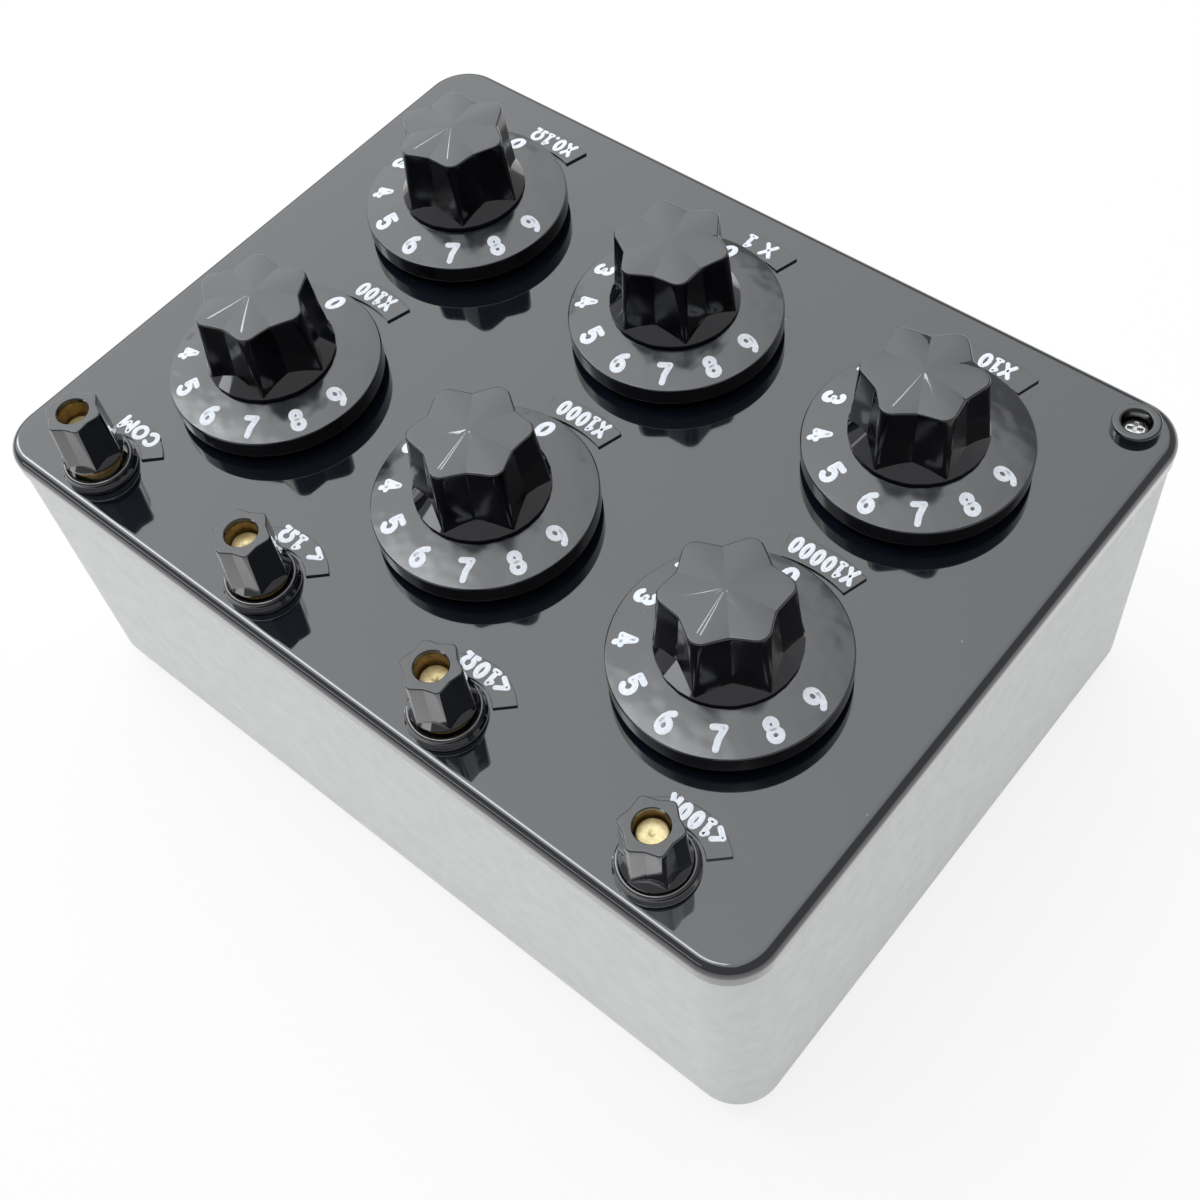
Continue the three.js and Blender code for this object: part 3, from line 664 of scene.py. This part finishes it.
plate_height = 0.00045
dial_plate_inner = 0.0219
dial_plate_outer = 0.0266
dial_plate_half_angle = math.radians(16.2)
dial_mark_height = 0.0036
dial_mark_weight = 0.00078
dial_mark_ends = 0.0007
dial_mark_letter = 0.00195
mark_depth = 0.00005
for name, column, row, _, _, text in decades:
    centre = decade_place(column, row)
    plate = sector_plate(f"plate_{name}", centre, dial_plate_inner, dial_plate_outer,
                         dial_plate_half_angle, plate_height)
    ride(plate, "case", "panel_moulding")
    length = dial_mark_ends + dial_mark_letter * len(text)
    marks = lettering(text, dial_mark_height, length, dial_mark_weight, mark_depth)
    marks.name = f"marks_{name}"
    lift = Vector((0, -(dial_plate_inner + dial_plate_outer) / 2, plate_height))
    marks.data.transform(Matrix.Translation(centre + lift))
    marks.data.materials.append(white)
    ride(marks, "case", "panel_moulding")

post_plate_inner = 0.007
post_plate_outer = 0.0109
post_plate_half_angle = math.radians(46)
post_mark_height = 0.0034
post_mark_weight = 0.00088
post_mark_ends = 0.0067
post_mark_letter = 0.00083
for name, place, _, _, text in posts:
    centre = post_place(place)
    plate = sector_plate(f"plate_{name}", centre, post_plate_inner, post_plate_outer,
                         post_plate_half_angle, plate_height)
    ride(plate, "case", "panel_moulding")
    length = post_mark_ends + post_mark_letter * len(text)
    marks = lettering(text, post_mark_height, length, post_mark_weight, mark_depth)
    marks.name = f"marks_{name}"
    lift = Vector((0, -(post_plate_inner + post_plate_outer) / 2, plate_height))
    marks.data.transform(Matrix.Translation(centre + lift))
    marks.data.materials.append(white)
    ride(marks, "case", "panel_moulding")

cup_radius = 0.00415
cup_foot = -0.004
screw_centre = Vector((-screw_place.x, -screw_place.y, panel_top))
cup = turned("screw_cup", [
    (cup_bore, cup_foot), (cup_radius, cup_foot), (cup_radius, cup_height), (cup_bore, cup_height)],
    56, closed=True)
round_edges(cup, 0.0005, 5)
smooth(cup)
cup.data.transform(Matrix.Translation(screw_centre))
cup.data.materials.append(panel_black)
ride(cup, "case", "panel_moulding")


# Sealing screw: a small cross-head screw of plated steel, turned down through the cup
# into the case's corner column until its head sits sunk in the cup.
screw_head_radius = 0.00215
screw_head_top = -0.0004
screw_head_seat = -0.0026
screw_crown_radius = 0.0016
screw_crown_height = 0.0003
screw_shank_radius = 0.0015
screw_tip = -0.0262
screw_head = turned("seal_screw_head", [
    (0, screw_tip), (screw_shank_radius, screw_tip), (screw_shank_radius, screw_head_seat),
    (screw_head_radius, screw_head_seat), (screw_head_radius, screw_head_top - screw_crown_height),
    (screw_crown_radius, screw_head_top), (0, screw_head_top)], 40)
recess_size = (0.0026, 0.0006, 0.0018)
recess_arms = []
for turn in (20, 110):
    deselect()
    bpy.ops.mesh.primitive_cube_add(size=1, location=(0, 0, screw_head_top), scale=recess_size)
    arm = bpy.context.object
    arm.rotation_euler.z = math.radians(turn)
    settle(arm)
    recess_arms.append(arm)
for arm in recess_arms:
    boolean(screw_head, arm, "DIFFERENCE")
round_edges(screw_head, 0.00006, 2, 40)
smooth(screw_head)
screw_head.data.transform(Matrix.Translation(screw_centre))
screw_head.data.materials.append(steel)
ride(screw_head, "case", "screw_steel", "seal_screw")


# Decades: each dial is a black skirted disc with white digits round its sloping face,
# and a fluted knob stands on it. Both are fixed to one steel spindle.
dial_radius = 0.0189
dial_crown_radius = 0.0115
dial_crown = 0.0069
dial_edge = 0.0051
dial_skirt = 0.0018
dial_bore = 0.0033
dial_hub_radius = 0.0065
dial_hub_foot = 0.0006
dial_hollow_radius = 0.0172
dial_hollow_roof = 0.0032
dial_slope = math.atan((dial_crown - dial_edge) / (dial_radius - dial_crown_radius))


def moulded_wall(name):
    """The same black compound for near-upright faces, darker, less glossy and without coat: painted shade
    where these walls fall dark.
    """
    material, tree, shader, coordinates = new_material(name)
    wall_mottle = noise(tree, coordinates, 140, detail=3)
    colour = ramp(tree, wall_mottle.outputs["Fac"], (0.3, (0.003, 0.0031, 0.0042)), (0.7, (0.006, 0.0062, 0.008)))
    tree.links.new(colour, shader.inputs["Base Color"])
    tree.links.new(ramp(tree, wall_mottle.outputs["Fac"], (0.3, 0.08), (0.7, 0.2)), shader.inputs["Roughness"])
    tree.links.new(bump(tree, wall_mottle.outputs["Fac"], 0.00005), shader.inputs["Normal"])
    shader.inputs["IOR"].default_value = 1.42
    return material


def dull_walls(piece, wall, slope=0.45):
    """Gives the near-vertical faces of a piece its second material, the painted shade of its walls."""
    piece.data.materials.append(wall)
    for polygon in piece.data.polygons:
        if abs(polygon.normal.z) < slope:
            polygon.material_index = 1


dial_black = wavy_gloss("dial_black", 230, 0.0004, 0.07, softness=0.13)
# The near-upright walls of the dials and knobs take this painted shade.
wall_painted_shade = moulded_wall("wall_painted_shade")
dial_pattern = turned("dial_pattern", [
    (dial_bore, dial_hub_foot), (dial_hub_radius, dial_hub_foot), (dial_hub_radius, dial_hollow_roof),
    (dial_hollow_radius, dial_hollow_roof), (dial_hollow_radius, dial_skirt),
    (dial_radius, dial_skirt), (dial_radius, dial_edge), (dial_crown_radius, dial_crown),
    (dial_bore, dial_crown)], 128, closed=True)
round_edges(dial_pattern, 0.00025, 4, 20)
smooth(dial_pattern)
dial_pattern.data.materials.append(dial_black)
# The dial's near-upright faces get the painted shade.
dull_walls(dial_pattern, wall_painted_shade)

digit_circle = 0.0157
digit_height = 0.0044
digit_width = 0.0028
digit_weight = 0.00105
digits = []
for digit in range(10):
    angle = math.radians(-90 + 30 * digit)
    mark = lettering(str(digit), digit_height, digit_width, digit_weight, mark_depth)
    height = dial_crown - (digit_circle - dial_crown_radius) * math.tan(dial_slope)
    place = Vector((digit_circle * math.cos(angle), digit_circle * math.sin(angle), height))
    turn = Matrix.Rotation(angle + math.radians(90), 4, "Z")
    mark.data.transform(Matrix.Translation(place) @ turn @ Matrix.Rotation(dial_slope, 4, "X"))
    digits.append(mark)
digit_pattern = merge_pieces(digits)
digit_pattern.data.materials.append(white)


def lobed_outline(tip, valley, tip_round, flute_round):
    """A six-pointed star with round tips, flat flanks and narrow round flutes."""
    half_lobe = math.radians(30)
    lobe = Vector((tip - tip_round, 0))
    flute = Matrix.Rotation(half_lobe, 2) @ Vector((valley + flute_round, 0))
    line = flute - lobe
    flank = math.atan2(line.y, line.x) - math.acos((tip_round + flute_round) / line.length)
    half = [lobe + Matrix.Rotation(flank * share, 2) @ Vector((tip_round, 0))
            for share in (0, 0.2, 0.4, 0.6, 0.8, 1)]
    hollow_turns = [flank + (half_lobe - flank) * share for share in (0, 0.35, 0.7, 1)]
    hollow = [flute - Matrix.Rotation(turn, 2) @ Vector((flute_round, 0)) for turn in hollow_turns]
    half += [half[-1].lerp(hollow[0], share) for share in (0.1, 0.5, 0.9)] + hollow
    other_half = [Matrix.Rotation(2 * half_lobe, 2) @ Vector((point.x, -point.y))
                  for point in half[-2:0:-1]]
    return [Matrix.Rotation(2 * half_lobe * number, 2) @ point
            for number in range(6) for point in half + other_half]


def at_height(outline, height):
    return [Vector((point.x, point.y, height)) for point in outline]


def circle_ring(outline, radius, height):
    """A plain circle with a point under each one of a lobed outline."""
    return at_height([point.normalized() * radius for point in outline], height)


def around(vertex):
    """A vertex's angle about Z, where a hair less than a full turn counts as none."""
    return round(math.atan2(vertex.co.y, vertex.co.x) % (2 * math.pi), 5) % 6.28318


def skinned(name, rings, apex=None):
    """Extrudes a circle from ring to ring, giving each new ring its points."""
    deselect()
    bpy.ops.mesh.primitive_circle_add(vertices=len(rings[0]), radius=0.01, fill_type="NOTHING")
    piece = bpy.context.object
    piece.name = name
    mesh = edit(piece)
    bpy.ops.mesh.select_all(action="SELECT")
    for number, ring in enumerate(rings):
        if number:
            bpy.ops.mesh.extrude_region_move()
            mesh = bmesh.from_edit_mesh(piece.data)
        chosen = sorted([vertex for vertex in mesh.verts if vertex.select], key=around)
        for vertex, point in zip(chosen, ring):
            vertex.co = point
        bmesh.update_edit_mesh(piece.data)
        if number == 0 and apex is not None:
            bpy.ops.mesh.edge_face_add()
    if apex is not None:
        bpy.ops.mesh.extrude_region_move()
        bpy.ops.mesh.merge(type="CENTER")
        mesh = bmesh.from_edit_mesh(piece.data)
        for vertex in mesh.verts:
            if vertex.select:
                vertex.co = apex
        bmesh.update_edit_mesh(piece.data)
    bpy.ops.mesh.select_all(action="SELECT")
    bpy.ops.mesh.remove_doubles(threshold=0.000001)
    bpy.ops.mesh.normals_make_consistent(inside=False)
    leave()
    return piece


def fluted_side(low, high, foot_radius, foot_height, slope, top_height_at, steps):
    """Rings of a fluted side, from the top of its ramps up to its top edge."""
    rings = []
    for step in range(steps + 1):
        share = step / steps
        ring = []
        for low_point, high_point in zip(low, high):
            low_height = foot_height + (foot_radius - low_point.length) * math.tan(slope)
            point = low_point.lerp(high_point, share)
            height = low_height + (top_height_at(high_point) - low_height) * share
            ring.append(Vector((point.x, point.y, height)))
        rings.append(ring)
    return rings


knob_seat = dial_crown + 0.0003
knob_ring_radius = 0.0114
knob_ring_top = knob_seat + 0.00075
knob_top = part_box("knob_x1")[1].z - panel_top
knob_round = 0.00035
crown_fall = 0.0006
petal_fold = 0.0003
ring_edge = 0.0001
knob_foot = lobed_outline(tip=0.0112, valley=0.009, tip_round=0.0005, flute_round=0.0006)


def knob_outline(inset):
    """The knob's outline at the top of its side, or as much within it."""
    return lobed_outline(0.01005 - inset, 0.0081 - inset, 0.0021 - inset, 0.0008 + inset)


def crown_drop(point, share):
    """How far the knob's top lies under its apex: six shallow petals."""
    from_lobe = (math.atan2(point.y, point.x) + math.radians(30)) % math.radians(60) - math.radians(30)
    fold = (abs(from_lobe) / math.radians(30)) ** 2
    return share * (crown_fall + petal_fold * fold * share * share)


def crown_ring(share):
    return [Vector((point.x * share, point.y * share, knob_top - crown_drop(point, share)))
            for point in knob_outline(knob_round)]


def knob_edge(point):
    return knob_top - crown_drop(point, 1) - knob_round


side_rings = fluted_side(knob_foot, knob_outline(0), knob_ring_radius - ring_edge, knob_ring_top,
                         math.radians(45), knob_edge, 10)
edge_rings = []
for turn in (22.5, 45, 67.5):
    inset = knob_round * (1 - math.cos(math.radians(turn)))
    upward = knob_round * math.sin(math.radians(turn))
    edge_rings.append([Vector((point.x, point.y, knob_edge(point) + upward))
                       for point in knob_outline(inset)])
knob_pattern = skinned("knob_pattern", [
    circle_ring(knob_foot, knob_ring_radius - ring_edge, knob_seat),
    circle_ring(knob_foot, knob_ring_radius, knob_seat + ring_edge),
    circle_ring(knob_foot, knob_ring_radius, knob_ring_top - ring_edge),
    circle_ring(knob_foot, knob_ring_radius - ring_edge, knob_ring_top),
    *side_rings, *edge_rings,
    *[crown_ring(share) for share in (1, 0.85, 0.65, 0.45, 0.25, 0.1)],
], apex=Vector((0, 0, knob_top)))
smooth(knob_pattern, 32)
knob_black = wavy_gloss("knob_black", 90, 0.00008, 0.05)
knob_pattern.data.materials.append(knob_black)
# The knob's near-upright faces get the painted shade.
dull_walls(knob_pattern, wall_painted_shade)

# Short thin lamps a metre off. Each lights one knob alone, and stands where the knob's
# top, at one of these azimuths in degrees, mirrors it to the camera.
knob_shine = {"x10000": (111, 82), "x1000": (113, 88), "x100": (105, 96), "x10": (104,), "x0_1": (100,)}
shine_radius = 0.005
shine_tilt = 0.062
for name, column, row, dial_turn, knob_turn, _ in decades:
    shine = knob_shine.get(name, ())
    centre = decade_place(column, row)
    body = f"decade_{name}"
    dial = copy_to(dial_pattern, f"dial_disc_{name}", centre)
    ride(dial, body, "dial_moulding", f"dial_{name}")
    marks = copy_to(digit_pattern, f"dial_digits_{name}", centre, math.radians(dial_turn))
    ride(marks, body, "dial_moulding")
    grip = copy_to(knob_pattern, f"knob_grip_{name}", centre, math.radians(knob_turn))
    ride(grip, body, "knob_moulding", f"knob_{name}")
    dial_lit.objects.link(dial)
    for number, azimuth in enumerate(shine, 1):
        outward = Vector((math.cos(math.radians(azimuth)), math.sin(math.radians(azimuth)), 0))
        point = centre + outward * shine_radius + Vector((0, 0, knob_top))
        normal = (outward * shine_tilt + Vector((0, 0, 1))).normalized()
        mirrored = (point - camera.matrix_world.translation).normalized().reflect(normal)
        only_grip = bpy.data.collections.new(f"lit_{name}_{number}")
        only_grip.objects.link(grip)
        studio_light(f"tube_lamp_{name}_{number}", point + mirrored, mirrored,
                     width=0.014, depth=0.07, energy=0.022, only=only_grip)
for pattern in (dial_pattern, digit_pattern, knob_pattern):
    bpy.data.objects.remove(pattern)


# Switch parts under the panel: steel spindles and brown laminate wafers with brass
# wipers, and the card that carries the wound resistors.
def turned_brass():
    """Lathe-turned brass, dulled by handling."""
    material, tree, shader, coordinates = new_material("turned_brass")
    tarnish = noise(tree, coordinates, 500, detail=4, roughness=0.6)
    colour = ramp(tree, tarnish.outputs["Fac"], (0.3, (0.3, 0.24, 0.13)), (0.65, (0.62, 0.52, 0.3)))
    tree.links.new(colour, shader.inputs["Base Color"])
    tree.links.new(ramp(tree, tarnish.outputs["Fac"], (0.3, 0.4), (0.7, 0.22)), shader.inputs["Roughness"])
    shader.inputs["Metallic"].default_value = 1
    return material


def brown_laminate():
    material, tree, shader, coordinates = new_material("brown_laminate")
    weave = noise(tree, coordinates, 900, detail=2)
    colour = ramp(tree, weave.outputs["Fac"], (0.3, (0.11, 0.055, 0.022)), (0.7, (0.2, 0.11, 0.05)))
    tree.links.new(colour, shader.inputs["Base Color"])
    shader.inputs["Roughness"].default_value = 0.5
    return material


brass = turned_brass()
laminate = brown_laminate()
paint("resistor_card", laminate)
for name, *_ in decades:
    paint(f"shaft_{name}", steel)
    paint(f"wafer_{name}", laminate)
    paint(f"wiper_{name}", brass)


# Binding posts: a black collar on the panel, a brass stud up its middle, and a fluted
# black cap on a flanged brass insert that screws up and down the stud.
post_black = wavy_gloss("post_black", 160, 0.00012, 0.06)
stud_hole_radius = 0.0027
collar_radius = 0.0065
collar_seat = 0.00015
collar_side_top = 0.0008
collar_chamfer = 0.0003
spigot_radius = 0.004
spigot_foot = -0.004
shoulder_recess_radius = 0.0037
shoulder_recess_floor = -0.0006
flange_recess_radius = 0.0052
flange_recess_floor = 0.001
bead_circle = 0.00565
bead_height = 0.0019
bead_radius = 0.0005
bead = []
for turn in range(-50, 231, 20):
    angle = math.radians(turn)
    bead.append((bead_circle + bead_radius * math.cos(angle), bead_height + bead_radius * math.sin(angle)))
collar_pattern = turned("collar_pattern", [
    (stud_hole_radius, spigot_foot), (spigot_radius, spigot_foot), (spigot_radius, collar_seat),
    (collar_radius, collar_seat), (collar_radius, collar_side_top),
    (collar_radius - collar_chamfer, collar_side_top + 0.0004),
    *bead,
    (flange_recess_radius, flange_recess_floor), (shoulder_recess_radius, flange_recess_floor),
    (shoulder_recess_radius, shoulder_recess_floor), (stud_hole_radius, shoulder_recess_floor),
], 72, closed=True)
round_edges(collar_pattern, 0.00015, 3, 40)
smooth(collar_pattern)
collar_pattern.data.materials.append(post_black)


def lit_brass(name, dark, light):
    """Matt brass with a random mottle, its colour raised so that it shows lit in the shade of the caps'
    bores: painted light.
    """
    material, tree, shader, coordinates = new_material(name)
    brass_mottle = noise(tree, coordinates, 700, detail=4, roughness=0.6)
    tree.links.new(ramp(tree, brass_mottle.outputs["Fac"], (0.3, dark), (0.65, light)), shader.inputs["Base Color"])
    tree.links.new(bump(tree, brass_mottle.outputs["Fac"], 0.00005), shader.inputs["Normal"])
    shader.inputs["Metallic"].default_value = 0.55
    shader.inputs["Roughness"].default_value = 0.42
    return material


stud_radius = 0.0024
stud_foot = -0.016
stud_top = 0.0108
stud_chamfer = 0.0002
shoulder_radius = 0.0034
shoulder_foot = -0.0005
shoulder_top = 0.0007
dimple_radius = 0.0006
dimple_depth = 0.00018
stud_pattern = turned("stud_pattern", [
    (0, stud_foot), (stud_radius, stud_foot), (stud_radius, shoulder_foot),
    (shoulder_radius, shoulder_foot), (shoulder_radius, shoulder_top), (stud_radius, shoulder_top),
    (stud_radius, stud_top - stud_chamfer), (stud_radius - stud_chamfer, stud_top),
    (dimple_radius, stud_top), (dimple_radius / 2, stud_top - dimple_depth + 0.00004),
    (0, stud_top - dimple_depth)], 48)
round_edges(stud_pattern, 0.00008, 2, 25)
nut_radius = 0.0054
nut_bottom = -0.00765
nut_top = -0.00465
nut = rod("nut", (0, 0), nut_radius, nut_bottom, nut_top, vertices=6)
stud_pattern = merge_pieces([stud_pattern, nut])
smooth(stud_pattern)
# The stud's brass is the palest, with the most painted light.
stud_pattern.data.materials.append(lit_brass("stud_brass_painted_light", (0.6, 0.48, 0.22), (0.88, 0.76, 0.44)))

insert_bore = 0.00275
insert_radius = 0.00315
insert_top = 0.012
flange_radius = 0.0048
flange_bottom = 0.0013
flange_top = 0.0024
insert_pattern = turned("insert_pattern", [
    (insert_bore, flange_bottom), (flange_radius, flange_bottom), (flange_radius, flange_top),
    (insert_radius, flange_top), (insert_radius, insert_top), (insert_bore, insert_top),
], 56, closed=True)
round_edges(insert_pattern, 0.0001, 2, 30)
smooth(insert_pattern)
# The insert's brass also carries painted light, less than the stud's.
insert_pattern.data.materials.append(lit_brass("insert_brass_painted_light", (0.2, 0.12, 0.035), (0.44, 0.29, 0.1)))

cap_seat = 0.0027
cap_radius = 0.0054
cap_top = 0.013
cap_ring_top = cap_seat + 0.0005
cap_mouth = 0.0027
cap_bore = 0.00345
cap_mouth_bottom = cap_top - 0.0007
cap_round = 0.0003
cap_mouth_edge = 0.00015
cap_foot = lobed_outline(tip=0.0053, valley=0.0045, tip_round=0.0004, flute_round=0.0004)


def cap_outline(inset):
    """The cap's outline at the top of its side, or as much within it."""
    return lobed_outline(0.0049 - inset, 0.0041 - inset, 0.001 - inset, 0.0005 + inset)


cap_sides = fluted_side(cap_foot, cap_outline(0), cap_radius - ring_edge, cap_ring_top,
                        math.radians(45), lambda point: cap_top - cap_round, 8)
cap_edges = []
for turn in (22.5, 45, 67.5, 90):
    inset = cap_round * (1 - math.cos(math.radians(turn)))
    upward = cap_round * math.sin(math.radians(turn))
    cap_edges.append(at_height(cap_outline(inset), cap_top - cap_round + upward))
cap_pattern = skinned("cap_pattern", [
    circle_ring(cap_foot, cap_bore, cap_seat),
    circle_ring(cap_foot, cap_radius - ring_edge, cap_seat),
    circle_ring(cap_foot, cap_radius, cap_seat + ring_edge),
    circle_ring(cap_foot, cap_radius, cap_ring_top - ring_edge),
    circle_ring(cap_foot, cap_radius - ring_edge, cap_ring_top),
    *cap_sides, *cap_edges,
    circle_ring(cap_foot, cap_mouth + cap_mouth_edge, cap_top),
    circle_ring(cap_foot, cap_mouth, cap_top - cap_mouth_edge),
    circle_ring(cap_foot, cap_mouth, cap_mouth_bottom),
    circle_ring(cap_foot, cap_bore, cap_mouth_bottom),
    circle_ring(cap_foot, cap_bore, cap_seat),
])
smooth(cap_pattern, 32)
cap_pattern.data.materials.append(post_black)

for name, place, cap_lift, cap_turn, _ in posts:
    centre = post_place(place)
    raised = centre + Vector((0, 0, cap_lift))
    collar = copy_to(collar_pattern, f"collar_{name}", centre)
    ride(collar, "case", "post_moulding", f"{name}_collar")
    panel_lit.objects.link(collar)
    stud = copy_to(stud_pattern, f"stud_{name}", centre)
    ride(stud, "case", "post_brass", f"{name}_stud")
    sleeve = copy_to(insert_pattern, f"insert_{name}", raised)
    ride(sleeve, f"{name}_carrier", "post_brass", f"{name}_insert")
    cap = copy_to(cap_pattern, f"cap_{name}", raised, math.radians(cap_turn))
    ride(cap, f"{name}_grip", "post_moulding", f"{name}_cap")
for pattern in (collar_pattern, stud_pattern, insert_pattern, cap_pattern):
    bpy.data.objects.remove(pattern)
